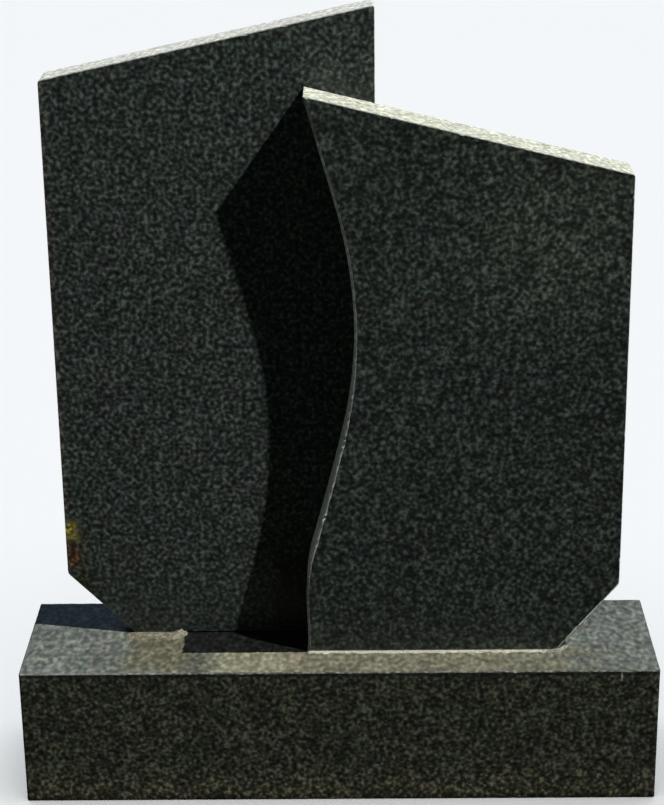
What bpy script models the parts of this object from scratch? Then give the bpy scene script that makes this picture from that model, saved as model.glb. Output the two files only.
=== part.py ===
"""A headstone of two dark stone slabs, one set in front of the other, on a block plinth.

The rear slab is the taller one and its top climbs to the right. The front slab stands against
its right half, with an S-shaped left side and a top that falls to the right. Each slab has one
lower outer corner cut off and stands on a thin bed of mortar.

Metres, +Z up, front face towards -Y. The origin is the middle of the plinth's underside.
"""

import math

import bmesh
import bpy

# Clear space kept between two pieces that touch
TOUCH_GAP = 0.0003

# Plinth: how far its top shows around the pair of slabs, and its height
FRONT_LEDGE = 0.069
BACK_LEDGE = 0.051
LEFT_LEDGE = 0.066
RIGHT_LEDGE = 0.060
PLINTH_HEIGHT = 0.227
PLINTH_ARRIS = 0.003

# Rear slab
REAR_WIDTH = 0.496
REAR_THICKNESS = 0.060
REAR_LEFT_HEIGHT = 0.903
REAR_RIGHT_HEIGHT = 1.0085
REAR_CUT_WIDTH = 0.103
REAR_CUT_HEIGHT = 0.105

# Front slab
FRONT_WIDTH = 0.488
FRONT_THICKNESS = 0.070
FRONT_LEFT_HEIGHT = 0.891
FRONT_RIGHT_HEIGHT = 0.7705
FRONT_CUT_WIDTH = 0.095
FRONT_CUT_HEIGHT = 0.113

# How far the rear slab runs on behind the front slab's left foot
SLAB_OVERLAP = 0.110

# Flat arris along every slab edge
SLAB_ARRIS = 0.0015

# Lean of the S-shaped side from the vertical, positive to the right going up:
# (share of the side's height, degrees), even in between and steady beyond the ends
S_LEANS = ((0.096, -1.4), (0.195, 16.0), (0.396, 13.3), (0.820, -15.5))
S_STEPS = 44

# Mortar beds under the slabs, and what was pressed out of them
BED_THICKNESS = 0.0020
BED_SQUEEZE = 0.003
SMEAR_WIDTH = 0.080
SMEAR_REACH = 0.030

# Edges that turn by more than this get an arris; the facets of the S-shaped side don't
ARRIS_ANGLE = math.radians(30)


def lean_at(share):
    """Return the S-shaped side's lean in radians at a share of its height."""
    below = S_LEANS[0]
    for above in S_LEANS:
        if share <= above[0]:
            break
        below = above
    else:
        return math.radians(above[1])
    if above is below:
        return math.radians(below[1])
    part = (share - below[0]) / (above[0] - below[0])
    return math.radians(below[1] + part * (above[1] - below[1]))


def s_side(foot_x, foot_z, height):
    """Return the (x, z) points of the S-shaped side, from its foot up."""
    rise = height / S_STEPS
    points = [(foot_x, foot_z)]
    for step in range(S_STEPS):
        x, z = points[-1]
        lean = lean_at((step + 0.5) / S_STEPS)
        points.append((x + rise * math.tan(lean), z + rise))
    return points


def prism(name, outline, start, direction):
    """Make a closed solid by pushing a flat outline along a direction.

    outline is a list of (u, v) pairs. A direction along Y reads them as x and z, and one
    along Z reads them as x and y. start is the place of the first face on that axis.
    """
    bm = bmesh.new()
    if direction[1]:
        corners = [bm.verts.new((u, start, v)) for u, v in outline]
    else:
        corners = [bm.verts.new((u, v, start)) for u, v in outline]
    first = bm.faces.new(corners)
    pushed = bmesh.ops.extrude_face_region(bm, geom=[first])
    moved = [item for item in pushed["geom"] if isinstance(item, bmesh.types.BMVert)]
    bmesh.ops.translate(bm, verts=moved, vec=direction)
    bmesh.ops.recalc_face_normals(bm, faces=bm.faces)
    mesh = bpy.data.meshes.new(name)
    bm.to_mesh(mesh)
    bm.free()
    piece = bpy.data.objects.new(name, mesh)
    bpy.context.scene.collection.objects.link(piece)
    return piece


def add_arris(piece, width):
    """Take a flat arris off the sharp edges of a piece."""
    bevel = piece.modifiers.new("arris", "BEVEL")
    bevel.width = width
    bevel.segments = 1
    bevel.limit_method = "ANGLE"
    bevel.angle_limit = ARRIS_ANGLE


def finish(piece, color, roughness):
    """Give a piece its own stone material."""
    material = bpy.data.materials.new(piece.name)
    material.use_nodes = True
    shader = material.node_tree.nodes["Principled BSDF"]
    shader.inputs["Base Color"].default_value = (*color, 1.0)
    shader.inputs["Roughness"].default_value = roughness
    shader.inputs["Metallic"].default_value = 0.0
    piece.data.materials.append(material)


def clear_scene():
    """Remove what the opened scene holds."""
    for item in list(bpy.data.objects):
        bpy.data.objects.remove(item, do_unlink=True)


def build():
    """Build the five pieces of the headstone."""
    pair_width = REAR_WIDTH + FRONT_WIDTH - SLAB_OVERLAP
    plinth_width = LEFT_LEDGE + pair_width + RIGHT_LEDGE
    pair_depth = FRONT_THICKNESS + TOUCH_GAP + REAR_THICKNESS
    plinth_depth = FRONT_LEDGE + pair_depth + BACK_LEDGE

    # Places, all worked out from the plinth's front left corner
    left_end = -plinth_width / 2
    front_end = -plinth_depth / 2
    rear_left = left_end + LEFT_LEDGE
    rear_right = rear_left + REAR_WIDTH
    front_left = rear_right - SLAB_OVERLAP
    front_right = front_left + FRONT_WIDTH
    front_face = front_end + FRONT_LEDGE
    front_back = front_face + FRONT_THICKNESS
    rear_face = front_back + TOUCH_GAP
    rear_back = rear_face + REAR_THICKNESS
    foot_z = PLINTH_HEIGHT + BED_THICKNESS
    bed_z = PLINTH_HEIGHT + TOUCH_GAP
    bed_depth = BED_THICKNESS - 2 * TOUCH_GAP

    # Plinth
    block = [
        (left_end, 0.0),
        (-left_end, 0.0),
        (-left_end, PLINTH_HEIGHT),
        (left_end, PLINTH_HEIGHT),
    ]
    plinth = prism("plinth", block, front_end, (0.0, plinth_depth, 0.0))
    add_arris(plinth, PLINTH_ARRIS)
    finish(plinth, (0.045, 0.050, 0.043), 0.35)

    # Rear slab, with its lower left corner cut off and its top climbing to the right
    rear_foot = rear_left + REAR_CUT_WIDTH
    rear_outline = [
        (rear_foot, foot_z),
        (rear_right, foot_z),
        (rear_right, foot_z + REAR_RIGHT_HEIGHT),
        (rear_left, foot_z + REAR_LEFT_HEIGHT),
        (rear_left, foot_z + REAR_CUT_HEIGHT),
    ]
    rear_slab = prism("rear_slab", rear_outline, rear_face, (0.0, REAR_THICKNESS, 0.0))
    add_arris(rear_slab, SLAB_ARRIS)
    finish(rear_slab, (0.040, 0.046, 0.042), 0.25)

    # Front slab, with its S-shaped left side and its lower right corner cut off
    front_foot = front_right - FRONT_CUT_WIDTH
    front_outline = [
        (front_foot, foot_z),
        (front_right, foot_z + FRONT_CUT_HEIGHT),
        (front_right, foot_z + FRONT_RIGHT_HEIGHT),
    ]
    front_outline += reversed(s_side(front_left, foot_z, FRONT_LEFT_HEIGHT))
    front_slab = prism("front_slab", front_outline, front_face, (0.0, FRONT_THICKNESS, 0.0))
    add_arris(front_slab, SLAB_ARRIS)
    finish(front_slab, (0.040, 0.046, 0.042), 0.25)

    # Mortar bed under the front slab, pressed out in front and at both ends
    front_bed_outline = [
        (front_left - BED_SQUEEZE, front_face - BED_SQUEEZE),
        (front_foot + BED_SQUEEZE, front_face - BED_SQUEEZE),
        (front_foot + BED_SQUEEZE, front_back),
        (front_left - BED_SQUEEZE, front_back),
    ]
    front_bed = prism("front_mortar_bed", front_bed_outline, bed_z, (0.0, 0.0, bed_depth))
    finish(front_bed, (0.62, 0.58, 0.44), 0.90)

    # Mortar bed under the rear slab, pressed out behind and smeared forward at its left foot
    smear_right = rear_foot + SMEAR_WIDTH
    rear_bed_outline = [
        (rear_foot - BED_SQUEEZE, rear_face - SMEAR_REACH),
        (smear_right, rear_face - SMEAR_REACH),
        (smear_right, rear_face),
        (rear_right + BED_SQUEEZE, rear_face),
        (rear_right + BED_SQUEEZE, rear_back + BED_SQUEEZE),
        (rear_foot - BED_SQUEEZE, rear_back + BED_SQUEEZE),
    ]
    rear_bed = prism("rear_mortar_bed", rear_bed_outline, bed_z, (0.0, 0.0, bed_depth))
    finish(rear_bed, (0.45, 0.39, 0.27), 0.90)


clear_scene()
build()
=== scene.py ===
"""Looks of the two-slab headstone: stone with worn edges, sawn tops, mortar and dust.

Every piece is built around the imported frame, in metres, +Z up, front faces towards -Y.
"""

import logging
import math
from dataclasses import dataclass, field
from enum import Enum
from typing import Callable, Iterable, Sequence

import bmesh
import bpy
from mathutils import Matrix, Vector, geometry, noise


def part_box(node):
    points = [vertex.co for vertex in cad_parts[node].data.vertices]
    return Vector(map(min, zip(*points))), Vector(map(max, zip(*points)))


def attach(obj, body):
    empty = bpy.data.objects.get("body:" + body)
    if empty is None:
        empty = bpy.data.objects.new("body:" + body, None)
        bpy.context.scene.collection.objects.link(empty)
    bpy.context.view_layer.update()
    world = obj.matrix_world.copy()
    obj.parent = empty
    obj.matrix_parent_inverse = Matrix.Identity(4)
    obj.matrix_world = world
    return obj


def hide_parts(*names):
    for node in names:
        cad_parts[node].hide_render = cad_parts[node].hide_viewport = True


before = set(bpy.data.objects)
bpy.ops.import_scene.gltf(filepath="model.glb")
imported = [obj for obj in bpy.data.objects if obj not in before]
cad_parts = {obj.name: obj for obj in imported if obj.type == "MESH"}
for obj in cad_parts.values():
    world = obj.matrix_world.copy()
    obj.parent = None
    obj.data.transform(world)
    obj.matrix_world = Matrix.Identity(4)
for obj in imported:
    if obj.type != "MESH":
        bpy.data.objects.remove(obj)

LOG = logging.getLogger("headstone")
MM = 0.001
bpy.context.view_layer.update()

# Width of the photograph's frame, in pixels
IMAGE_WIDTH = 664

# Upward share of a side's outward direction, by which the sides of an outline are told apart
FOOT_BELOW = -0.95
CUT_BELOW = -0.3
TOP_ABOVE = 0.6

# Reading an outline from the frame: corners closer than WELD are one, and the bevels at real
# corners are shorter than LONGEST_BEVEL
WELD = 0.01 * MM
LEVEL_SLACK = 0.05 * MM
LONGEST_BEVEL = 5 * MM

# Edges that turn by less than this are shaded smooth
SOFT_ANGLE = math.radians(40)
# The inner points of a cap keep this share of their spacing from its border
CAP_CLEARANCE = 0.6

Color = tuple[float, float, float]


class Side(Enum):
    """The sides of a stone's outline, by the way they face."""

    FOOT = "foot"
    CUT = "cut corner"
    LEFT = "left"
    TOP = "top"
    RIGHT = "right"


class Skin(Enum):
    """The finished surfaces of one stone, in the order of its material slots."""

    FRONT = 0
    ARRIS = 1
    WALL = 2
    BACK = 3


# Shader node groups


class NodeSheet:
    """A node tree with short calls to add and wire its nodes."""

    def __init__(self, tree: bpy.types.NodeTree) -> None:
        """Keep the tree.

        Args:
            tree: The tree that the nodes go into.
        """
        self.tree = tree

    def add(self, kind: str, **settings: object) -> bpy.types.Node:
        """Add a node and set its own properties.

        Args:
            kind: Node type, without the ShaderNode prefix.
            settings: Property names and values.

        Returns:
            The new node.
        """
        prefix = "" if kind.startswith("NodeGroup") else "ShaderNode"
        node = self.tree.nodes.new(prefix + kind)
        for name, value in settings.items():
            setattr(node, name, value)
        return node

    def put(self, value: object, socket: bpy.types.NodeSocket) -> None:
        """Wire a socket to an input, or write a plain value on it.

        Args:
            value: An output socket, a number, or a colour or vector.
            socket: The input that takes it.
        """
        if isinstance(value, bpy.types.NodeSocket):
            self.tree.links.new(value, socket)
        elif socket.type == "RGBA" and len(value) == 3:
            socket.default_value = (*value, 1.0)
        else:
            socket.default_value = value

    def math(self, operation: str, *values: object, clamp: bool = False) -> bpy.types.NodeSocket:
        """Add a Math node.

        Args:
            operation: Blender's name of the operation.
            values: Its inputs, in order.
            clamp: Whether the result is held between 0 and 1.

        Returns:
            The result's socket.
        """
        node = self.add("Math", operation=operation, use_clamp=clamp)
        for value, socket in zip(values, node.inputs):
            self.put(value, socket)
        return node.outputs[0]

    def vector_math(self, operation: str, *values: object) -> bpy.types.NodeSocket:
        """Add a Vector Math node.

        Args:
            operation: Blender's name of the operation.
            values: Its inputs, in order.

        Returns:
            The vector's socket, or the value's for a length or dot product.
        """
        node = self.add("VectorMath", operation=operation)
        for value, socket in zip(values, node.inputs):
            self.put(value, socket)
        single = operation in ("LENGTH", "DOT_PRODUCT", "DISTANCE")
        return node.outputs["Value"] if single else node.outputs["Vector"]

    def ramp(self, value: object, low: object, high: object) -> bpy.types.NodeSocket:
        """Turn a value into a smooth 0 to 1 step between two limits.

        Args:
            value: The value that is read.
            low: Where the step starts.
            high: Where it ends.

        Returns:
            The step's socket.
        """
        node = self.add("MapRange", interpolation_type="SMOOTHSTEP")
        self.put(value, node.inputs["Value"])
        self.put(low, node.inputs["From Min"])
        self.put(high, node.inputs["From Max"])
        return node.outputs["Result"]

    def mix(self, factor: object, first: object, second: object) -> bpy.types.NodeSocket:
        """Blend two colours.

        Args:
            factor: Share of the second colour.
            first: Colour at 0.
            second: Colour at 1.

        Returns:
            The blended colour's socket.
        """
        node = self.add("Mix", data_type="RGBA")
        self.put(factor, node.inputs[0])
        self.put(first, node.inputs[6])
        self.put(second, node.inputs[7])
        return node.outputs[2]

    def noise(self, vector: object, scale: object, detail: float = 3.0) -> bpy.types.Node:
        """Add a noise texture.

        Args:
            vector: Where it is read.
            scale: Waves per metre.
            detail: Octaves.

        Returns:
            The texture node.
        """
        node = self.add("TexNoise")
        self.put(vector, node.inputs["Vector"])
        self.put(scale, node.inputs["Scale"])
        node.inputs["Detail"].default_value = detail
        return node

    def cells(self, vector: object, scale: object) -> bpy.types.Node:
        """Add a cell texture.

        Args:
            vector: Where it is read.
            scale: Cells per metre.

        Returns:
            The texture node.
        """
        node = self.add("TexVoronoi")
        self.put(vector, node.inputs["Vector"])
        self.put(scale, node.inputs["Scale"])
        return node


@dataclass(frozen=True)
class Socket:
    """One socket of a node group."""

    name: str
    kind: str
    value: object = None


class Effect:
    """A shader node group, built once and placed in each material that needs it."""

    title: str = ""
    takes: tuple[Socket, ...] = ()
    gives: tuple[Socket, ...] = ()
    _made: dict[str, bpy.types.NodeTree] = {}

    @classmethod
    def tree(cls) -> bpy.types.NodeTree:
        """Return the group's tree, building it the first time.

        Returns:
            The tree.
        """
        if cls.title not in cls._made:
            tree = bpy.data.node_groups.new(cls.title, "ShaderNodeTree")
            for socket in cls.takes:
                made = tree.interface.new_socket(
                    socket.name, in_out="INPUT", socket_type="NodeSocket" + socket.kind
                )
                if socket.value is not None:
                    value = (*socket.value, 1.0) if socket.kind == "Color" else socket.value
                    made.default_value = value
            for socket in cls.gives:
                tree.interface.new_socket(
                    socket.name, in_out="OUTPUT", socket_type="NodeSocket" + socket.kind
                )
            sheet = NodeSheet(tree)
            source = sheet.add("NodeGroupInput")
            results = cls.wire(sheet, {s.name: source.outputs[s.name] for s in cls.takes})
            target = sheet.add("NodeGroupOutput")
            for name, value in results.items():
                sheet.put(value, target.inputs[name])
            cls._made[cls.title] = tree
        return cls._made[cls.title]

    @classmethod
    def wire(cls, sheet: NodeSheet, given: dict) -> dict:
        """Wire the group. Each effect has its own."""
        raise NotImplementedError

    @classmethod
    def place(cls, sheet: NodeSheet, **values: object) -> bpy.types.Node:
        """Put the group into a material.

        Args:
            sheet: The material's sheet.
            values: Input values, with underscores for the spaces in their names.

        Returns:
            The group's node.
        """
        node = sheet.add("Group")
        node.node_tree = cls.tree()
        for name, value in values.items():
            sheet.put(value, node.inputs[name.replace("_", " ")])
        return node


class MineralGrain(Effect):
    """Interlocked minerals: mottling, worm-shaped grains, crisp cells and sparse bright flecks."""

    title = "mineral grain"
    takes = (
        Socket("Vector", "Vector"),
        Socket("Mid", "Color", (0.04, 0.04, 0.04)),
        Socket("Light", "Color", (0.12, 0.12, 0.12)),
        Socket("Grains per metre", "Float", 150.0),
        Socket("Contrast", "Float", 2.2),
        Socket("Fleck share", "Float", 0.02),
    )
    gives = (Socket("Color", "Color"), Socket("Tone", "Float"), Socket("Height", "Float"))

    # Weight of each layer, and its size beside the grains
    MOTTLE = (0.50, 0.34)
    WORMS = (2.7, 1.0)
    CELLS = (0.16, 1.9)
    FLECKS = 0.80
    # Octaves of the mottling and of the worms
    MOTTLE_OCTAVES = 2.0
    WORM_OCTAVES = 0.7
    # How bright a grain gets at most, beside the stone's middle tone
    BRIGHTEST = 3.6
    # Where a bright fleck starts to fade and where it ends, and how much it hides
    FLECK_FADE = (0.10, 0.75)
    FLECK_COVER = 0.5

    @classmethod
    def wire(cls, sheet: NodeSheet, given: dict) -> dict:
        """Wire the grains.

        Args:
            sheet: The group's sheet.
            given: Its input sockets by name.

        Returns:
            The output sockets by name.
        """
        place, scale = given["Vector"], given["Grains per metre"]
        mottle = sheet.noise(place, sheet.math("MULTIPLY", scale, cls.MOTTLE[1]), cls.MOTTLE_OCTAVES)
        worms = sheet.noise(place, sheet.math("MULTIPLY", scale, cls.WORMS[1]), cls.WORM_OCTAVES)
        cells = sheet.cells(place, sheet.math("MULTIPLY", scale, cls.CELLS[1]))
        pick = sheet.add("SeparateColor")
        sheet.put(cells.outputs["Color"], pick.inputs[0])
        value = 0.0
        for source, weight in (
            (mottle.outputs["Fac"], cls.MOTTLE[0]),
            (worms.outputs["Fac"], cls.WORMS[0]),
            (pick.outputs[0], cls.CELLS[0]),
        ):
            centred = sheet.math("MULTIPLY_ADD", source, weight, -0.5 * weight)
            value = sheet.math("ADD", value, centred)
        # Even steps of the value are even ratios of brightness, as in the real stone
        tone = sheet.math("EXPONENT", sheet.math("MULTIPLY", value, given["Contrast"]))
        tone = sheet.math("MINIMUM", tone, cls.BRIGHTEST)

        flecks = sheet.cells(place, sheet.math("MULTIPLY", scale, cls.FLECKS))
        fleck_pick = sheet.add("SeparateColor")
        sheet.put(flecks.outputs["Color"], fleck_pick.inputs[0])
        rare = sheet.math("SUBTRACT", 1.0, given["Fleck share"])
        inside = sheet.math("SUBTRACT", 1.0, sheet.ramp(flecks.outputs["Distance"], *cls.FLECK_FADE))
        picked = sheet.math("GREATER_THAN", fleck_pick.outputs[1], rare)
        bright = sheet.math("MULTIPLY", picked, inside)

        body = sheet.add("VectorMath", operation="SCALE")
        sheet.put(given["Mid"], body.inputs[0])
        sheet.put(tone, body.inputs["Scale"])
        cover = sheet.math("MULTIPLY", bright, cls.FLECK_COVER)
        color = sheet.mix(cover, body.outputs["Vector"], given["Light"])
        return {"Color": color, "Tone": tone, "Height": sheet.math("ADD", value, bright)}


class SawMarks(Effect):
    """Faint ridges that a saw leaves along a cut face, and broken grain between them."""

    title = "saw marks"
    takes = (
        Socket("Vector", "Vector"),
        Socket("Marks per metre", "Float", 260.0),
        Socket("Stretch", "Vector", (0.08, 1.0, 0.08)),
    )
    gives = (Socket("Mask", "Float"), Socket("Height", "Float"))

    LINE_OCTAVES = 2.0
    PITS_PER_METRE = 420.0
    PIT_OCTAVES = 3.0
    # Where lines and pits together start to show, and where they show in full
    SHOWING = (0.8, 1.25)

    @classmethod
    def wire(cls, sheet: NodeSheet, given: dict) -> dict:
        """Wire the marks.

        Args:
            sheet: The group's sheet.
            given: Its input sockets by name.

        Returns:
            The output sockets by name.
        """
        drawn = sheet.vector_math("MULTIPLY", given["Vector"], given["Stretch"])
        lines = sheet.noise(drawn, given["Marks per metre"], cls.LINE_OCTAVES)
        pits = sheet.noise(given["Vector"], cls.PITS_PER_METRE, cls.PIT_OCTAVES)
        both = sheet.math("ADD", lines.outputs["Fac"], pits.outputs["Fac"])
        mask = sheet.ramp(both, *cls.SHOWING)
        return {"Mask": mask, "Height": both}


class PatchMask(Effect):
    """A soft box in space with a ragged border, for dust, stains, smudges and painted shade."""

    title = "patch mask"
    takes = (
        Socket("Vector", "Vector"),
        Socket("Centre", "Vector"),
        Socket("Reach", "Vector", (0.1, 0.1, 0.1)),
        Socket("Softness", "Float", 0.3),
        Socket("Raggedness", "Float", 0.3),
        Socket("Rags per metre", "Float", 30.0),
    )
    gives = (Socket("Mask", "Float"),)

    RAG_OCTAVES = 5.0
    # Share of the reach that a raggedness of 1 moves the border by, for each unit of noise
    RAG_PUSH = 4.0

    @classmethod
    def wire(cls, sheet: NodeSheet, given: dict) -> dict:
        """Wire the patch.

        Args:
            sheet: The group's sheet.
            given: Its input sockets by name.

        Returns:
            The output sockets by name.
        """
        offset = sheet.vector_math("SUBTRACT", given["Vector"], given["Centre"])
        share = sheet.vector_math("ABSOLUTE", sheet.vector_math("DIVIDE", offset, given["Reach"]))
        split = sheet.add("SeparateXYZ")
        sheet.put(share, split.inputs[0])
        wide = sheet.math("MAXIMUM", split.outputs[0], split.outputs[1])
        far = sheet.math("MAXIMUM", wide, split.outputs[2])
        rags = sheet.noise(given["Vector"], given["Rags per metre"], cls.RAG_OCTAVES)
        centred = sheet.math("SUBTRACT", rags.outputs["Fac"], 0.5)
        swing = sheet.math("MULTIPLY", given["Raggedness"], cls.RAG_PUSH)
        push = sheet.math("MULTIPLY", centred, swing)
        edge = sheet.math("ADD", far, push)
        inner = sheet.math("SUBTRACT", 1.0, given["Softness"])
        return {"Mask": sheet.math("SUBTRACT", 1.0, sheet.ramp(edge, inner, 1.0))}


# Finishes


@dataclass(frozen=True)
class Patch:
    """A dusty, stained or wiped place on a stone's surface, or a patch of painted shade.

    centre and reach are metres in the row frame, strength the share of the stone that it hides,
    and grain how much of the stone's grain still shows through it.
    """

    tint: Color
    centre: tuple[float, float, float]
    reach: tuple[float, float, float]
    strength: float = 0.5
    softness: float = 0.5
    raggedness: float = 0.3
    rags_per_metre: float = 30.0
    grain: float = 1.3
    roughness: float = 0.8


@dataclass(frozen=True)
class Minerals:
    """Colours and sizes of a stone's grains."""

    mid: Color
    light: Color
    grains_per_metre: float = 150.0
    contrast: float = 2.3
    fleck_share: float = 0.03
    # How closely the grains lie along each axis, beside the grains per metre
    crowding: tuple[float, float, float] = (1.0, 1.0, 1.0)


@dataclass(frozen=True)
class StoneFinish:
    """One finish of the stone: polished, honed, sawn or worn."""

    name: str
    minerals: Minerals
    roughness: float
    roughness_swing: float = 0.08
    specular: float = 0.3
    cloud: float = 0.08
    # How far the stone's tint drifts between places a few centimetres apart
    drift: float = 0.30
    # How much lighter the stone is a metre higher up
    lift_per_metre: float = 0.0
    saw: float = 0.0
    bump: float = 0.05
    patches: tuple[Patch, ...] = ()

    # Waves per metre and octaves of the clouds and of the drifting tint
    CLOUDS = (7.0, 4.0)
    DRIFTS = (34.0, 3.0)
    # Height above the ground where the stone's tone is left as it is
    LIFT_LEVEL = 0.7

    def material(self) -> bpy.types.Material:
        """Build the finish's material.

        Returns:
            The material.
        """
        material = bpy.data.materials.new(self.name)
        material.use_nodes = True
        sheet = NodeSheet(material.node_tree)
        shader = material.node_tree.nodes["Principled BSDF"]
        place = sheet.add("TexCoord").outputs["Object"]
        grain = MineralGrain.place(
            sheet,
            Vector=sheet.vector_math("MULTIPLY", place, self.minerals.crowding),
            Mid=self.minerals.mid,
            Light=self.minerals.light,
            Grains_per_metre=self.minerals.grains_per_metre,
            Contrast=self.minerals.contrast,
            Fleck_share=self.minerals.fleck_share,
        )
        color = grain.outputs["Color"]
        height = grain.outputs["Height"]

        cloud = sheet.noise(place, *self.CLOUDS).outputs["Fac"]
        centred = sheet.math("SUBTRACT", cloud, 0.5)
        shade = sheet.math("MULTIPLY_ADD", centred, 2.0 * self.cloud, 1.0)
        split = sheet.add("SeparateXYZ")
        sheet.put(place, split.inputs[0])
        rise = sheet.math("SUBTRACT", split.outputs[2], self.LIFT_LEVEL)
        shade = sheet.math("MULTIPLY_ADD", rise, self.lift_per_metre, shade)
        shaded = sheet.add("VectorMath", operation="SCALE")
        sheet.put(color, shaded.inputs[0])
        sheet.put(shade, shaded.inputs["Scale"])
        places = sheet.noise(place, *self.DRIFTS).outputs["Color"]
        spread = (self.drift,) * 3
        tint = sheet.vector_math("MULTIPLY_ADD", places, spread, (1.0 - self.drift / 2,) * 3)
        color = sheet.vector_math("MULTIPLY", shaded.outputs["Vector"], tint)

        if self.saw:
            marks = SawMarks.place(sheet, Vector=place)
            lit = sheet.math("MULTIPLY", marks.outputs["Mask"], self.saw)
            color = sheet.mix(lit, color, self.minerals.light)
            height = sheet.math("ADD", height, marks.outputs["Height"])

        rough = sheet.math("MULTIPLY", cloud, self.roughness_swing)
        rough = sheet.math("ADD", rough, self.roughness - self.roughness_swing / 2)
        for patch in self.patches:
            mask = PatchMask.place(
                sheet,
                Vector=place,
                Centre=patch.centre,
                Reach=patch.reach,
                Softness=patch.softness,
                Raggedness=patch.raggedness,
                Rags_per_metre=patch.rags_per_metre,
            )
            cover = sheet.math("MULTIPLY", mask.outputs["Mask"], patch.strength)
            through = sheet.add("VectorMath", operation="SCALE")
            tone = sheet.math("POWER", grain.outputs["Tone"], patch.grain)
            sheet.put(patch.tint, through.inputs[0])
            sheet.put(tone, through.inputs["Scale"])
            color = sheet.mix(cover, color, through.outputs["Vector"])
            shift = sheet.math("SUBTRACT", patch.roughness, rough)
            rough = sheet.math("MULTIPLY_ADD", shift, cover, rough)

        bump = sheet.add("Bump")
        bump.inputs["Strength"].default_value = self.bump
        bump.inputs["Distance"].default_value = MM
        sheet.put(height, bump.inputs["Height"])
        sheet.put(color, shader.inputs["Base Color"])
        sheet.put(rough, shader.inputs["Roughness"])
        sheet.put(bump.outputs["Normal"], shader.inputs["Normal"])
        shader.inputs["Specular IOR Level"].default_value = self.specular
        return material


@dataclass(frozen=True)
class MortarFinish:
    """Dried mortar: sandy, pitted and matt."""

    name: str
    pale: Color
    deep: Color
    grit: Color

    # Waves per metre and octaves of the broad and of the fine unevenness
    BROAD = (110.0, 4.0)
    FINE = (700.0, 3.0)
    GRIT_PER_METRE = 520.0
    # Where the deep colour gives way to the pale one, and where grit comes up
    PALE_STEP = (0.38, 0.66)
    GRIT_STEP = (0.80, 0.95)
    BUMP = 0.6
    ROUGHNESS = 0.85
    ROUGHNESS_SWING = 0.1
    SPECULAR = 0.2

    def material(self) -> bpy.types.Material:
        """Build the mortar's material.

        Returns:
            The material.
        """
        material = bpy.data.materials.new(self.name)
        material.use_nodes = True
        sheet = NodeSheet(material.node_tree)
        shader = material.node_tree.nodes["Principled BSDF"]
        place = sheet.add("TexCoord").outputs["Object"]
        broad = sheet.noise(place, *self.BROAD).outputs["Fac"]
        fine = sheet.noise(place, *self.FINE).outputs["Fac"]
        grit = sheet.cells(place, self.GRIT_PER_METRE)
        pick = sheet.add("SeparateColor")
        sheet.put(grit.outputs["Color"], pick.inputs[0])
        color = sheet.mix(sheet.ramp(broad, *self.PALE_STEP), self.deep, self.pale)
        color = sheet.mix(sheet.ramp(pick.outputs[0], *self.GRIT_STEP), color, self.grit)
        bump = sheet.add("Bump")
        bump.inputs["Strength"].default_value = self.BUMP
        bump.inputs["Distance"].default_value = MM
        sheet.put(sheet.math("ADD", fine, broad), bump.inputs["Height"])
        rough = sheet.math("ADD", sheet.math("MULTIPLY", fine, self.ROUGHNESS_SWING), self.ROUGHNESS)
        sheet.put(color, shader.inputs["Base Color"])
        sheet.put(rough, shader.inputs["Roughness"])
        sheet.put(bump.outputs["Normal"], shader.inputs["Normal"])
        shader.inputs["Specular IOR Level"].default_value = self.SPECULAR
        return material


REAR_POLISHED = Minerals(mid=(0.0298, 0.0368, 0.0315), light=(0.150, 0.170, 0.155), contrast=2.1)
FRONT_POLISHED = Minerals(
    mid=(0.0240, 0.0302, 0.0255), light=(0.140, 0.160, 0.145), grains_per_metre=155.0, contrast=1.9
)
PLINTH_POLISHED = Minerals(
    mid=(0.0280, 0.0300, 0.0203), light=(0.130, 0.132, 0.104), grains_per_metre=165.0, contrast=2.0
)
PLINTH_TOP = Minerals(
    mid=(0.112, 0.120, 0.102),
    light=(0.290, 0.300, 0.270),
    grains_per_metre=138.0,
    contrast=0.95,
    fleck_share=0.05,
    crowding=(1.0, 0.6, 1.0),
)
PLINTH_ARRIS = Minerals(mid=(0.085, 0.090, 0.074), light=(0.240, 0.248, 0.225), contrast=1.3)
HONED = Minerals(mid=(0.110, 0.116, 0.105), light=(0.260, 0.265, 0.250), contrast=1.2)
SAWN_FRONT = Minerals(mid=(0.455, 0.460, 0.362), light=(0.640, 0.650, 0.560), contrast=1.0)
SAWN_REAR = Minerals(mid=(0.580, 0.575, 0.515), light=(0.720, 0.715, 0.660), contrast=0.8)
WORN = Minerals(mid=(0.260, 0.265, 0.240), light=(0.480, 0.485, 0.440), contrast=0.8)


# Outlines


@dataclass(frozen=True)
class Ring:
    """One closed loop round a stone: flat places, and how far along the push each one lies."""

    places: list[Vector]
    along: list[float]


@dataclass(frozen=True)
class Mark:
    """One point of a stone's outline, with its outward direction and the side it is on.

    room is the widest arris that the nearest corners leave there, and run how far along the
    outline the point lies, both in metres.
    """

    place: Vector
    out: Vector
    side: Side
    room: float
    run: float


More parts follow.
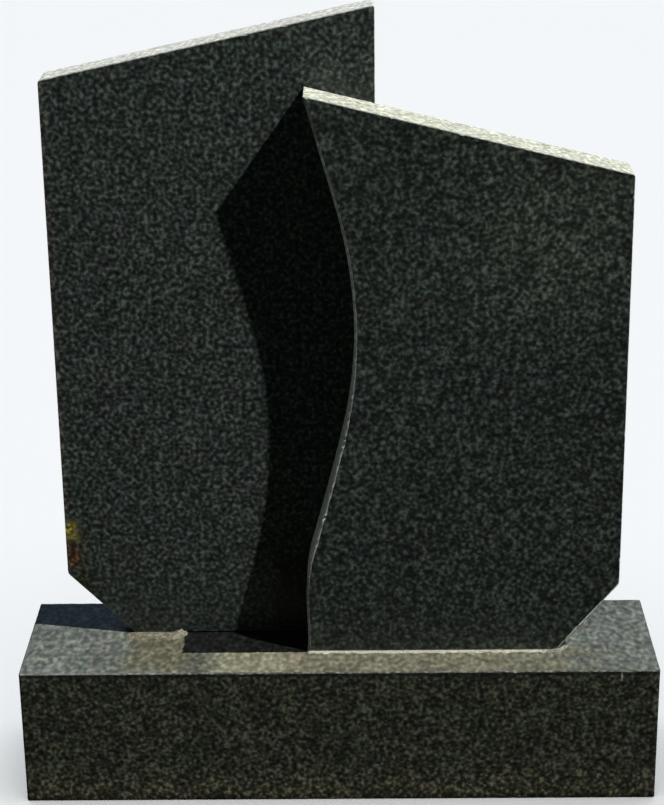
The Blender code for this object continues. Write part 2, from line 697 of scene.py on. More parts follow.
@dataclass
class Outline:
    """A closed outline with rounded corners, walked counter-clockwise in even steps."""

    corners: list[Vector]
    step: float
    corner_radius: float
    bend_limit: float = math.radians(10)

    def stretches(self) -> list[list[Vector]]:
        """Split the outline at its real corners.

        Returns:
            The stretches between them, each with both its end corners.
        """
        count = len(self.corners)
        sharp = [i for i in range(count) if self._turn(i) > self.bend_limit]
        found = []
        for first, last in zip(sharp, sharp[1:] + [sharp[0] + count]):
            found.append([self.corners[i % count] for i in range(first, last + 1)])
        return found

    def _turn(self, index: int) -> float:
        """Return how much the outline turns at a corner.

        Args:
            index: The corner.

        Returns:
            The turn in radians.
        """
        count = len(self.corners)
        here = self.corners[index]
        before = here - self.corners[index - 1]
        after = self.corners[(index + 1) % count] - here
        return before.angle(after)

    def marks(self) -> list[Mark]:
        """Walk the outline.

        Returns:
            The outline's points, in order.
        """
        stretches = self.stretches()
        trims = []
        radii = []
        tight = []
        for before, after in zip([stretches[-1]] + stretches[:-1], stretches):
            turn = (before[-1] - before[-2]).angle(after[1] - after[0])
            inner = math.pi - turn
            # A sharper corner than a square one is rounded less
            radius = self.corner_radius * (inner / (math.pi / 2)) ** 2
            radii.append(radius)
            # The round is a parabola, and this is the radius of its tightest bend
            tight.append(radius * math.sin(inner / 2))
            trims.append(radius / math.tan(inner / 2))
        points: list[Vector] = []
        sides: list[Side] = []
        room: list[float] = []
        for index, stretch in enumerate(stretches):
            following = (index + 1) % len(stretches)
            side = facing(stretch)
            line = even_steps(stretch, trims[index], trims[following], self.step)
            points += line
            sides += [side] * len(line)
            for spot in line:
                from_start = (spot - stretch[0]).length * radii[index] / trims[index]
                from_end = (spot - stretch[-1]).length * radii[following] / trims[following]
                room.append(min(from_start, from_end))
            room[-len(line)], room[-1] = tight[index], tight[following]
            onward = self._start_of(stretches[following], trims[following])
            bend = corner_arc(line[-1], stretch[-1], onward)
            points += bend
            sides += [side] * len(bend)
            room += [tight[following]] * len(bend)
        count = len(points)
        runs = [0.0]
        for before, after in zip(points, points[1:]):
            runs.append(runs[-1] + (after - before).length)
        marks = []
        for index in range(count):
            along = points[(index + 1) % count] - points[index - 1]
            out = Vector((along.y, -along.x)).normalized()
            marks.append(Mark(points[index], out, sides[index], room[index], runs[index]))
        return marks

    @staticmethod
    def _start_of(stretch: list[Vector], trim: float) -> Vector:
        """Return the first point of a stretch after its trimmed corner."""
        return stretch[0] + (stretch[1] - stretch[0]).normalized() * trim


def facing(stretch: Sequence[Vector]) -> Side:
    """Name the side that a stretch of the outline is, from the way it faces.

    Args:
        stretch: Its points.

    Returns:
        The side.
    """
    along = (stretch[-1] - stretch[0]).normalized()
    out = Vector((along.y, -along.x))
    if out.y < FOOT_BELOW:
        return Side.FOOT
    if out.y < CUT_BELOW:
        return Side.CUT
    if out.y > TOP_ABOVE:
        return Side.TOP
    return Side.RIGHT if out.x > 0 else Side.LEFT


def even_steps(stretch: list[Vector], start: float, end: float, step: float) -> list[Vector]:
    """Walk a stretch in even steps, on a smooth curve through its points.

    Args:
        stretch: The points.
        start: Length left out at its start.
        end: Length left out at its end.
        step: Rough length of a step.

    Returns:
        The points of the walk.
    """
    dense: list[Vector] = []
    for index in range(len(stretch) - 1):
        first, last = stretch[index], stretch[index + 1]
        before = stretch[index - 1] if index else first * 2 - last
        after = stretch[index + 2] if index + 2 < len(stretch) else last * 2 - first
        pieces = max(1, math.ceil((last - first).length / (step / 2)))
        dense += [curve_point(before, first, last, after, part / pieces) for part in range(pieces)]
    dense.append(stretch[-1])
    runs = [0.0]
    for first, last in zip(dense, dense[1:]):
        runs.append(runs[-1] + (last - first).length)
    count = max(2, round((runs[-1] - start - end) / step))
    wanted = [start + (runs[-1] - start - end) * part / count for part in range(count + 1)]
    points = []
    index = 0
    for run in wanted:
        while runs[index + 1] < run and index + 2 < len(runs):
            index += 1
        share = (run - runs[index]) / (runs[index + 1] - runs[index])
        points.append(dense[index].lerp(dense[index + 1], share))
    return points


def curve_point(before: Vector, first: Vector, last: Vector, after: Vector, share: float) -> Vector:
    """Return a point between two knots of a smooth curve through all of its knots.

    Args:
        before: The knot before the two.
        first: The first of the two.
        last: The last of the two.
        after: The knot after the two.
        share: How far the point is on its way from the first to the last.

    Returns:
        The point.
    """
    square = share * share
    cube = square * share
    return 0.5 * (
        first * 2
        + (last - before) * share
        + (before * 2 - first * 5 + last * 4 - after) * square
        + (first * 3 - before - last * 3 + after) * cube
    )


def corner_arc(start: Vector, corner: Vector, end: Vector, count: int = 4) -> list[Vector]:
    """Round a corner.

    Args:
        start: Where the round begins.
        corner: The sharp corner.
        end: Where the round ends.
        count: Points between the two ends.

    Returns:
        The points between the two ends.
    """
    points = []
    for index in range(1, count + 1):
        share = index / (count + 1)
        points.append(start.lerp(corner, share).lerp(corner.lerp(end, share), share))
    return points


def cad_outline(node: str) -> list[Vector]:
    """Read a slab's outline from the frame, with the small bevels at its corners undone.

    Args:
        node: The slab's node.

    Returns:
        Its corners as (x, z), counter-clockwise seen from the front.
    """
    work = bmesh.new()
    work.from_mesh(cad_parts[node].data)
    bmesh.ops.remove_doubles(work, verts=work.verts, dist=WELD)
    levels = sorted({round(vertex.co.y, 5) for vertex in work.verts})
    ring = [e for e in work.edges if all(abs(v.co.y - levels[1]) < LEVEL_SLACK for v in e.verts)]
    ways: dict[int, list[int]] = {}
    for edge in ring:
        first, last = (vertex.index for vertex in edge.verts)
        ways.setdefault(first, []).append(last)
        ways.setdefault(last, []).append(first)
    work.verts.ensure_lookup_table()
    start = ring[0].verts[0].index
    loop = [start]
    previous, current = start, ways[start][0]
    while current != start:
        loop.append(current)
        onward = [other for other in ways[current] if other != previous]
        previous, current = current, onward[0]
    points = [Vector((work.verts[i].co.x, work.verts[i].co.z)) for i in loop]
    work.free()
    area = sum(a.x * b.y - b.x * a.y for a, b in zip(points, points[1:] + points[:1]))
    if area < 0:
        points.reverse()
    return undo_bevels(points, LONGEST_BEVEL)


def undo_bevels(points: list[Vector], limit: float) -> list[Vector]:
    """Swap each short bevel of an outline for the corner that it was cut from.

    Args:
        points: The outline.
        limit: Longest stretch that counts as a bevel.

    Returns:
        The outline with sharp corners.
    """
    count = len(points)
    short = [i for i in range(count) if (points[(i + 1) % count] - points[i]).length < limit]
    corners = []
    for index in range(count):
        if (index - 1) % count in short:
            continue
        if index in short:
            before, first = points[index - 1], points[index]
            last, after = points[(index + 1) % count], points[(index + 2) % count]
            corners.append(line_crossing(before, first, after, last))
        else:
            corners.append(points[index])
    return corners


def line_crossing(a: Vector, b: Vector, c: Vector, d: Vector) -> Vector:
    """Cross two lines.

    Args:
        a: A point on the first line.
        b: Another point on it.
        c: A point on the second line.
        d: Another point on it.

    Returns:
        Where they cross.
    """
    one, two = b - a, d - c
    share = ((c - a).x * two.y - (c - a).y * two.x) / (one.x * two.y - one.y * two.x)
    return a + one * share


# Stones


@dataclass(frozen=True)
class Wear:
    """How the arris along a stone's edges was cut and has worn, in metres."""

    widths: dict[Side, float]
    unevenness: float = 0.3
    chips_per_metre: float = 6.0
    chip_reach: float = 3.5 * MM
    chip_depth: float = 1.5 * MM


@dataclass
class Stone:
    """A block of stone, pushed from a flat outline, with worn arrises and cut walls."""

    name: str
    node: str
    slot: str
    finishes: dict[Skin, StoneFinish]
    wear: Wear
    step: float = 2.5 * MM
    corner_radius: float = 4 * MM
    wall_step: float = 7.5 * MM
    wall_relief: float = 0.35 * MM
    seed: float = 1.0

    # The front arris's two middle rings, as shares of its width, and how far a chip pushes them
    NEAR = (0.50, 0.20)
    DEEP = (0.15, 0.35)
    # The back arris's middle ring, as a share of its width
    PLAIN = 0.34
    # Waves per metre of the saw's marks, and of the arris's broad and fine unevenness
    SAW_WAVES = 90.0
    BROAD_WAVES = 55.0
    FINE_WAVES = 240.0
    FINE_SHARE = 0.7
    # Points to each side over which the arris changes its width from one side to the next
    BLUR = 4
    # Share of the room at a corner that the arris takes at most
    ROOM_SHARE = 0.8

    def corners(self) -> list[Vector]:
        """Return the outline's corners. Each kind of stone has its own."""
        raise NotImplementedError

    def span(self) -> tuple[float, float]:
        """Return where the stone starts and ends along its push."""
        raise NotImplementedError

    def point(self, across: Vector, along: float) -> Vector:
        """Return the point in space of a place on the outline, some way along the push."""
        raise NotImplementedError

    def build(self) -> bpy.types.Object:
        """Build and dress the stone.

        Returns:
            The finished piece.
        """
        marks = Outline(self.corners(), self.step, self.corner_radius).marks()
        widths, chips = self._arris(marks)
        start, end = self.span()
        flat = [0.0] * len(marks)
        near = [self.NEAR[0] + self.NEAR[1] * chip for chip in chips]
        deep = [self.DEEP[0] + self.DEEP[1] * chip for chip in chips]
        plain = [self.PLAIN] * len(marks)
        full = [1.0] * len(marks)
        rings = [
            self._arris_ring(marks, widths, inset, depth, start, 1.0)
            for inset, depth in ((full, flat), (near, deep), (deep, near), (flat, full))
        ]
        levels = max(2, round((end - start) / self.wall_step))
        rings += [self._wall_ring(marks, start + (end - start) * i / levels) for i in range(1, levels)]
        rings += [
            self._arris_ring(marks, widths, inset, depth, end, -1.0)
            for inset, depth in ((flat, full), (plain, plain), (full, flat))
        ]
        skins = [Skin.ARRIS] * 3 + [Skin.WALL] * levels + [Skin.ARRIS] * 2
        mesh = ring_solid(self.name, rings, self.point, skins)
        piece = link_piece(self.name, mesh)
        for skin in Skin:
            mesh.materials.append(self.finishes[skin].material())
        settle(piece, self.node)
        return piece

    @staticmethod
    def _arris_ring(
        marks: list[Mark],
        widths: list[float],
        inset: list[float],
        depth: list[float],
        face: float,
        way: float,
    ) -> Ring:
        """Lay a ring round the arris.

        Args:
            marks: The outline's points.
            widths: The arris's width at each point.
            inset: How far in from the outline, as a share of the width.
            depth: How far from the face, as a share of the width.
            face: Where the face is along the push.
            way: 1 for the first face, -1 for the last.

        Returns:
            The ring.
        """
        places = [
            mark.place - mark.out * width * share
            for mark, width, share in zip(marks, widths, inset)
        ]
        return Ring(places, [face + way * width * share for width, share in zip(widths, depth)])

    def _wall_ring(self, marks: list[Mark], along: float) -> Ring:
        """Lay a ring round the wall, with the slight waves that the saw left.

        Args:
            marks: The outline's points.
            along: Where the ring is along the push.

        Returns:
            The ring.
        """
        places = []
        shift = Vector((self.seed, 0.0, 0.0))
        for mark in marks:
            wave = noise.noise(self.point(mark.place, along) * self.SAW_WAVES + shift)
            places.append(mark.place - mark.out * self.wall_relief * (0.5 + 0.5 * wave))
        return Ring(places, [along] * len(marks))

    def _arris(self, marks: list[Mark]) -> tuple[list[float], list[float]]:
        """Work out the arris along the outline.

        Args:
            marks: The outline's points.

        Returns:
            The arris's width at each point, and how much of a chip is there, from 0 to 1.
        """
        count = len(marks)
        base = [self.wear.widths[mark.side] for mark in marks]
        near_by = range(-self.BLUR, self.BLUR + 1)
        smooth = [sum(base[(i + k) % count] for k in near_by) / len(near_by) for i in range(count)]
        length = marks[-1].run
        chips = []
        for index in range(round(length * self.wear.chips_per_metre)):
            draw = noise.cell_vector(Vector((index * 3.1 + self.seed * 17.0, self.seed, 0.5)))
            chips.append((draw.x * length, draw.y, draw.z))
        widths, chipped = [], []
        for mark, width in zip(marks, smooth):
            wave = noise.noise(Vector((mark.run * self.BROAD_WAVES, self.seed * 7.0, 0.0)))
            fine = noise.noise(Vector((mark.run * self.FINE_WAVES, self.seed * 3.0, 4.0)))
            value = width * (1.0 + self.wear.unevenness * (wave + self.FINE_SHARE * fine))
            chip = 0.0
            for place, reach_draw, depth_draw in chips:
                reach = self.wear.chip_reach * (0.5 + reach_draw)
                near = abs(mark.run - place) / reach
                if near < 1.0:
                    swell = (1.0 - near * near) * (0.5 + 0.5 * depth_draw)
                    value += self.wear.chip_depth * swell
                    chip = max(chip, swell)
            widths.append(min(value, self.ROOM_SHARE * mark.room))
            chipped.append(chip)
        return widths, chipped


@dataclass
class Slab(Stone):
    """An upright slab, pushed from its front outline to its back."""

    def corners(self) -> list[Vector]:
        """Return the front outline, read from the frame."""
        return cad_outline(self.node)

    def span(self) -> tuple[float, float]:
        """Return the slab's front and back."""
        low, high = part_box(self.node)
        return low.y, high.y

    def point(self, across: Vector, along: float) -> Vector:
        """Return the point in space of a place on the outline, some way back."""
        return Vector((across.x, along, across.y))


@dataclass
class Plinth(Stone):
    """The block that carries the slabs, pushed from its top down."""

    def corners(self) -> list[Vector]:
        """Return the block's plan, seen from above.

        Returns:
            Its corners, counter-clockwise.
        """
        low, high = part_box(self.node)
        return [
            Vector((low.x, low.y)),
            Vector((high.x, low.y)),
            Vector((high.x, high.y)),
            Vector((low.x, high.y)),
        ]

    def span(self) -> tuple[float, float]:
        """Return how deep the block goes below its top."""
        low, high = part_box(self.node)
        return 0.0, high.z - low.z

    def point(self, across: Vector, along: float) -> Vector:
        """Return the point in space of a place on the plan, some way down."""
        return Vector((across.x, across.y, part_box(self.node)[1].z - along))


def darker_foot(low: Vector, tint: Color, grain: float) -> Patch:
    """Return the darker zone along a slab's foot.

    Args:
        low: The slab's lowest corner.
        tint: The zone's colour.
        grain: How much of the stone's grain shows through.

    Returns:
        The patch.
    """
    return Patch(
        tint=tint,
        centre=(0.0, low.y, low.z - 0.01),
        reach=(2.0, 0.02, 0.16),
        strength=0.8,
        softness=1.0,
        raggedness=0.04,
        rags_per_metre=20.0,
        grain=grain,
        roughness=0.45,
    )


def ring_solid(
    name: str, rings: list[Ring], point: Callable[[Vector, float], Vector], skins: list[Skin]
) -> bpy.types.Mesh:
    """Join rings of equal length into one closed mesh, with a flat cap at each end.

    Args:
        name: The mesh's name.
        rings: The rings, from the first face to the last.
        point: Turns a flat place and a distance along the push into a point in space.
        skins: Skin of each strip between two rings.

    Returns:
        The mesh, smooth except at the caps' borders and at real corners.
    """
    work = bmesh.new()
    loops = [[work.verts.new(point(*spot)) for spot in zip(ring.places, ring.along)] for ring in rings]
    for before, after, skin in zip(loops, loops[1:], skins):
        for index, corner in enumerate(before):
            onward = (index + 1) % len(before)
            face = work.faces.new((corner, before[onward], after[onward], after[index]))
            face.material_index = skin.value
            face.smooth = True
    for ring, loop, skin in ((rings[0], loops[0], Skin.FRONT), (rings[-1], loops[-1], Skin.BACK)):
        fill_cap(work, ring, loop, point, skin)
    bmesh.ops.recalc_face_normals(work, faces=work.faces)
    for edge in work.edges:
        border = len({face.smooth for face in edge.link_faces}) > 1
        edge.smooth = not border and edge.calc_face_angle(0.0) < SOFT_ANGLE
    mesh = bpy.data.meshes.new(name)
    work.to_mesh(mesh)
    work.free()
    return mesh


def fill_cap(
    work: bmesh.types.BMesh,
    ring: Ring,
    loop: list[bmesh.types.BMVert],
    point: Callable[[Vector, float], Vector],
    skin: Skin,
    spacing: float = 16 * MM,
) -> None:
    """Close a flat ring with even triangles, also where it is hollow.

    Args:
        work: The mesh in work.
        ring: The ring.
        loop: Its corners in the mesh.
        point: Turns a flat place and a distance along the push into a point in space.
        skin: The cap's skin.
        spacing: Rough size of the triangles.
    """
    count = len(loop)
    borders = [(index, (index + 1) % count) for index in range(count)]
    low = Vector(map(min, zip(*ring.places)))
    high = Vector(map(max, zip(*ring.places)))
    inner = []
    clear = (CAP_CLEARANCE * spacing) ** 2
    for row in range(1, math.ceil((high.y - low.y) / spacing)):
        stagger = 0.5 * (row % 2)
        for column in range(1, math.ceil((high.x - low.x) / spacing)):
            spot = low + Vector((column + stagger, row)) * spacing
            if min((spot - place).length_squared for place in ring.places) > clear:
                inner.append(spot)
    inside_only, snap = 1, 1e-7
    found = geometry.delaunay_2d_cdt(ring.places + inner, borders, [], inside_only, snap)
    spots, _, faces, sources, _, _ = found
    corners = []
    for spot, source in zip(spots, sources):
        known = source and source[0] < count
        corners.append(loop[source[0]] if known else work.verts.new(point(spot, ring.along[0])))
    for face in faces:
        made = work.faces.new([corners[index] for index in face])
        made.material_index = skin.value
        made.smooth = False
    for corner in [corner for corner in corners if not corner.link_faces]:
        work.verts.remove(corner)


def link_piece(name: str, mesh: bpy.types.Mesh) -> bpy.types.Object:
    """Put a mesh into the scene as a piece.

    Args:
        name: The piece's name.
        mesh: The mesh.

    Returns:
        The piece.
    """
    piece = bpy.data.objects.new(name, mesh)
    bpy.context.scene.collection.objects.link(piece)
    return piece


def settle(piece: bpy.types.Object, node: str | None = None) -> None:
    """Fix a piece to the headstone and hide the CAD node that it replaces, if any.

    Args:
        piece: The piece.
        node: The CAD node that it replaces, if it replaces one.
    """
    if node:
        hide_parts(node)
    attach(piece, "root")


# Mortar


@dataclass
class MortarBed:
    """The bed under a slab: what shows is the bead pressed out all round."""

    name: str
    node: str
    slot: str
    finish: MortarFinish
    left: float
    right: float
    front: float
    back: float
    bulge: float = 2.2 * MM
    # Right of this place the front of the bed stops short of the slab's face
    short_from: float = math.inf
    step: float = 2.0 * MM
    corner_radius: float = 3 * MM
    seed: float = 1.0

    # The bead's profile: share of the bed's height, and how full the bead is there
    PROFILE = ((0.0, 1.0), (0.2, 1.1), (0.45, 0.8), (0.7, 0.2), (1.0, -0.5))
    # Lumps per metre, and the middle and the swing of their share of the bulge
    LUMPS_PER_METRE = 70.0
    LUMPS = (0.70, 0.55)
    # How much closer the grit lies than the lumps, and its swing
    GRIT = (6.0, 0.25)
    # How far the bead's root lies behind the slab's face
    ROOT = 0.4 * MM
    # How far the mortar stops short of the face where it doesn't reach it
    SHORT = 12 * MM
    # Share of the bulge at the bed's two ends
    END_SHARE = 0.3

    def build(self) -> bpy.types.Object:
        """Build and dress the bed.

        Returns:
            The finished piece.
        """
        low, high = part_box(self.node)
        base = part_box("plinth")[1].z
        roof = high.z + (low.z - base)
        plan = [
            Vector((self.left, self.front)),
            Vector((self.right, self.front)),
            Vector((self.right, self.back)),
            Vector((self.left, self.back)),
        ]
        marks = Outline(plan, self.step, self.corner_radius).marks()
        rings = []
        for rise, swell in self.PROFILE:
            places = [mark.place + mark.out * self._reach(mark, rise, swell) for mark in marks]
            rings.append(Ring(places, [base + (roof - base) * rise] * len(marks)))
        skins = [Skin.FRONT] * (len(rings) - 1)
        mesh = ring_solid(self.name, rings, lambda flat, up: Vector((*flat, up)), skins)
        for face in mesh.polygons:
            face.material_index = 0
        piece = link_piece(self.name, mesh)
        mesh.materials.append(self.finish.material())
        settle(piece, self.node)
        return piece

    def _reach(self, mark: Mark, rise: float, swell: float) -> float:
        """Return how far the bead stands out from the bed's outline at a point.

        Args:
            mark: The point of the outline.
            rise: Share of the bed's height.
            swell: How full the bead is at that height.

        Returns:
            The distance, negative where the mortar stops short of the slab's face.
        """
        spot = Vector((mark.place.x, mark.place.y, rise)) * self.LUMPS_PER_METRE
        middle, swing = self.LUMPS
        lump = middle + swing * noise.noise(spot + Vector((self.seed, 0.0, 0.0)))
        closer, grit_swing = self.GRIT
        grit = grit_swing * noise.noise(spot * closer)
        full = self.bulge * max(0.0, lump + grit) * swell - self.ROOT
        if mark.out.y < -0.5 and mark.place.x > self.short_from:
            return -self.SHORT
        return full if abs(mark.out.x) < 0.5 else self.END_SHARE * full


@dataclass
class MortarCake:
    """A thin lumpy cake of mortar left on the plinth, thick where its height function says."""

    name: str
    slot: str
    finish: MortarFinish
    left: float
    right: float
    front: float
    back: float
    height: Callable[[float, float], float]
    step: float = 1.6 * MM
    sunk: float = 1.0 * MM

    # How deep the cake's rim lies in the plinth, as a share of the sunk part
    RIM_SHARE = 0.6

    def build(self) -> bpy.types.Object:
        """Build and dress the cake.

        Returns:
            The finished piece.
        """
        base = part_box("plinth")[1].z
        across = max(3, round((self.right - self.left) / self.step))
        deep = max(3, round((self.back - self.front) / self.step))
        work = bmesh.new()
        grid: list[list[bmesh.types.BMVert]] = []
        under: list[list[bmesh.types.BMVert]] = []
        lowest = -self.RIM_SHARE * self.sunk
        for row in range(deep + 1):
            y = self.front + (self.back - self.front) * row / deep
            top, bottom = [], []
            for column in range(across + 1):
                x = self.left + (self.right - self.left) * column / across
                edge = row in (0, deep) or column in (0, across)
                rise = lowest if edge else max(lowest, self.height(x, y))
                top.append(work.verts.new((x, y, base + rise)))
                bottom.append(work.verts.new((x, y, base - self.sunk)))
            grid.append(top)
            under.append(bottom)
        for row in range(deep):
            for column in range(across):
                for sheet in (grid, under):
                    work.faces.new(
                        (
                            sheet[row][column],
                            sheet[row][column + 1],
                            sheet[row + 1][column + 1],
                            sheet[row + 1][column],
                        )
                    )
        rim = [(0, c) for c in range(across)] + [(r, across) for r in range(deep)]
        rim += [(deep, c) for c in range(across, 0, -1)] + [(r, 0) for r in range(deep, 0, -1)]
        for (row, column), (next_row, next_column) in zip(rim, rim[1:] + rim[:1]):
            work.faces.new(
                (
                    grid[row][column],
                    grid[next_row][next_column],
                    under[next_row][next_column],
                    under[row][column],
                )
            )
        bmesh.ops.recalc_face_normals(work, faces=work.faces)
        mesh = bpy.data.meshes.new(self.name)
        work.to_mesh(mesh)
        work.free()
        mesh.shade_smooth()
        piece = link_piece(self.name, mesh)
        mesh.materials.append(self.finish.material())
        settle(piece)
        return piece


# The whole headstone


@dataclass
class Headstone:
    """The plinth, the two slabs and the mortar between them."""

    pieces: list[bpy.types.Object] = field(default_factory=list)

    def build(self) -> list[bpy.types.Object]:
        """Build every piece in order.

        Returns:
            The pieces.
        """
        for maker in (self.plinth, self.rear_slab, self.front_slab, *self.mortar()):
            piece = maker().build()
            self.pieces.append(piece)
            LOG.info("%s: %d faces", piece.name, len(piece.data.polygons))
        return self.pieces

    def plinth(self) -> Plinth:
        """Describe the plinth.

        Returns:
            The plinth, ready to build.
        """
        low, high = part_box("plinth")
        slab_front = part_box("front_slab")[0].y
        rear_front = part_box("rear_slab")[0].y
        ledge = (low.y + slab_front) / 2
        top = high.z
        strip = (slab_front + rear_front) / 2
        # Lighter colour along the left end of the plinth's arris
        lighter_left_arris = Patch(
            tint=(0.150, 0.155, 0.140),
            centre=(low.x, low.y, top),
            reach=(0.26, 0.02, 0.02),
            strength=1.0,
            grain=0.6,
        )
        sand = Patch(
            tint=(0.132, 0.121, 0.074),
            centre=(0.10, ledge, top),
            reach=(0.36, 0.060, 0.01),
            strength=0.75,
            softness=0.6,
            raggedness=0.25,
            rags_per_metre=26.0,
            grain=0.9,
        )
        pale_sand = Patch(
            tint=(0.192, 0.188, 0.122),
            centre=(-0.135, ledge, top),
            reach=(0.085, 0.050, 0.01),
            strength=0.85,
            softness=0.45,
            raggedness=0.25,
            rags_per_metre=40.0,
            grain=0.8,
        )
        pink_sand = Patch(
            tint=(0.185, 0.160, 0.112),
            centre=(-0.075, slab_front - 0.018, top),
            reach=(0.018, 0.020, 0.01),
            strength=0.8,
            softness=0.6,
            rags_per_metre=60.0,
            grain=0.8,
        )
        left_sand = Patch(
            tint=(0.096, 0.090, 0.054),
            centre=(-0.285, strip - 0.034, top),
            reach=(0.065, 0.075, 0.01),
            strength=0.85,
            raggedness=0.2,
            grain=1.0,
        )
        dull = Patch(
            tint=(0.066, 0.070, 0.055),
            centre=(-0.214, ledge, top),
            reach=(0.030, 0.060, 0.01),
            strength=0.9,
            grain=1.0,
            raggedness=0.2,
            rags_per_metre=50.0,
        )
        # Painted shade: a near-black patch on the plinth top under the front slab's cut corner, where
        # the slab shades it
        painted_shade_under_cut = Patch(
            tint=(0.012, 0.013, 0.011),
            centre=(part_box("front_mortar_bed")[1].x + 0.007, slab_front + 0.026, top),
            reach=(0.009, 0.016, 0.01),
            strength=1.0,
            raggedness=0.2,
            rags_per_metre=120.0,
        )
        # Painted shade: a near-black patch on the plinth top beside the rear slab's cut corner, where
        # its shadow is darkest
        painted_shade_left_cut = Patch(
            tint=(0.012, 0.013, 0.011),
            centre=(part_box("rear_mortar_bed")[0].x - 0.004, rear_front + 0.010, top),
            reach=(0.018, 0.018, 0.01),
            strength=1.0,
            softness=0.7,
            raggedness=0.2,
            rags_per_metre=90.0,
        )
        # Painted shadow: a near-black strip on the plinth top between the two slabs, reaching further
        # left than the front slab's cast shadow; it also makes that strip glossier
        painted_shadow_between_slabs = Patch(
            tint=(0.0092, 0.0098, 0.0090),
            centre=(-0.146, strip + 0.003, top),
            reach=(0.105, 0.5 * (rear_front - slab_front) + 0.004, 0.01),
            strength=1.0,
            softness=0.03,
            raggedness=0.03,
            rags_per_metre=90.0,
            grain=1.1,
            roughness=0.2,
        )
        soil = Patch(
            tint=(0.048, 0.042, 0.024),
            centre=(0.0, 0.0, low.z),
            reach=(2.0, 2.0, 0.070),
            softness=0.9,
        )
        run_mark = Patch(
            tint=(0.115, 0.115, 0.085),
            centre=(0.440, low.y, top - 0.008),
            reach=(0.0022, 0.01, 0.014),
            strength=0.9,
            softness=0.6,
            raggedness=0.15,
            rags_per_metre=80.0,
        )
        dirt_line = Patch(
            tint=(0.0065, 0.0072, 0.0050),
            centre=(0.0, 0.0, top - 0.0050),
            reach=(2.0, 2.0, 0.0046),
            strength=0.95,
            softness=0.8,
            raggedness=0.10,
            rags_per_metre=120.0,
            grain=1.0,
            roughness=0.6,
        )
        face = StoneFinish(
            "plinth polished",
            PLINTH_POLISHED,
            roughness=0.45,
            patches=(soil, dirt_line, run_mark),
        )
        return Plinth(
            name="plinth_block",
            node="plinth",
            slot="plinth_granite",
            finishes={
                Skin.FRONT: StoneFinish(
                    "plinth top",
                    PLINTH_TOP,
                    roughness=0.45,
                    bump=0.12,
                    patches=(sand, dull, pale_sand, pink_sand, left_sand, painted_shade_left_cut, painted_shadow_between_slabs, painted_shade_under_cut),
                ),
                Skin.ARRIS: StoneFinish("plinth arris", PLINTH_ARRIS, roughness=0.75, patches=(lighter_left_arris,)),
                Skin.WALL: face,
                Skin.BACK: StoneFinish("plinth underside", HONED, roughness=0.8, saw=0.3),
            },
            wear=Wear(widths={side: 2.0 * MM for side in Side}, unevenness=0.5),
            step=3 * MM,
            wall_step=12 * MM,
            wall_relief=0.2 * MM,
            seed=3.0,
        )

    def rear_slab(self) -> Slab:
        """Describe the rear slab.

        Returns:
            The slab, ready to build.
        """
        low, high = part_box("rear_slab")
        lichen = Patch(
            tint=(0.300, 0.250, 0.035),
            centre=(low.x, low.y, low.z + 0.180),
            reach=(0.026, 0.02, 0.021),
            strength=0.9,
            softness=0.8,
            raggedness=0.55,
            rags_per_metre=150.0,
        )
        rust = Patch(
            tint=(0.048, 0.021, 0.007),
            centre=(low.x + 0.006, low.y, low.z + 0.134),
            reach=(0.025, 0.02, 0.026),
            strength=0.9,
            softness=0.7,
            raggedness=0.35,
            rags_per_metre=90.0,
        )
        moss = Patch(
            tint=(0.0105, 0.0135, 0.0045),
            centre=(low.x + 0.022, low.y, low.z + 0.092),
            reach=(0.036, 0.02, 0.026),
            strength=1.0,
            softness=0.9,
            raggedness=0.25,
            rags_per_metre=60.0,
        )
        fringe = Patch(
            tint=(0.026, 0.023, 0.009),
            centre=(low.x, low.y, low.z + 0.155),
            reach=(0.045, 0.02, 0.060),
            strength=0.7,
            softness=0.8,
            rags_per_metre=50.0,
        )
        edge = Patch(
            tint=(0.050, 0.040, 0.030),
            centre=(low.x, low.y, (low.z + high.z) / 2),
            reach=(0.012, 0.02, 0.6),
            softness=0.8,
        )
        # Painted shade: darker colour low on the rear slab beside the front slab's left edge, in the
        # corner between the two slabs
        painted_corner_shade = Patch(
            tint=(0.0035, 0.0050, 0.0040),
            centre=(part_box("front_slab")[0].x - 0.020, low.y, low.z),
            reach=(0.045, 0.02, 0.22),
            strength=0.85,
            softness=0.6,
            raggedness=0.2,
            rags_per_metre=40.0,
            grain=1.0,
            roughness=0.45,
        )
        face = StoneFinish(
            "rear slab polished",
            REAR_POLISHED,
            roughness=0.45,
            lift_per_metre=0.18,
            patches=(
                edge,
                darker_foot(low, (0.0195, 0.0240, 0.0215), 0.7),
                painted_corner_shade,
                fringe,
                moss,
                rust,
                lichen,
            ),
        )
        wet_foot = Patch(
            tint=(0.020, 0.024, 0.021),
            centre=(0.0, low.y, low.z),
            reach=(2.0, 0.02, 0.006),
            strength=1.0,
            softness=0.2,
            raggedness=0.02,
            roughness=0.5,
        )
        sawn = StoneFinish(
            "rear slab sawn",
            SAWN_REAR,
            roughness=0.85,
            specular=0.2,
            saw=0.5,
            bump=0.35,
            cloud=0.1,
            drift=0.1,
        )
        return Slab(
            name="rear_slab_stone",
            node="rear_slab",
            slot="rear_slab_granite",
            finishes={
                Skin.FRONT: face,
                Skin.ARRIS: StoneFinish(
                    "rear slab arris", WORN, roughness=0.7, patches=(wet_foot,)
                ),
                Skin.WALL: sawn,
                Skin.BACK: StoneFinish(
                    "rear slab back", HONED, roughness=0.55, saw=0.15, bump=0.2
                ),
            },
            wear=Wear(
                widths={
                    Side.TOP: 1.4 * MM,
                    Side.LEFT: 1.0 * MM,
                    Side.RIGHT: 0.9 * MM,
                    Side.CUT: 1.2 * MM,
                    Side.FOOT: 1.0 * MM,
                }
            ),
            corner_radius=5 * MM,
            seed=5.0,
        )

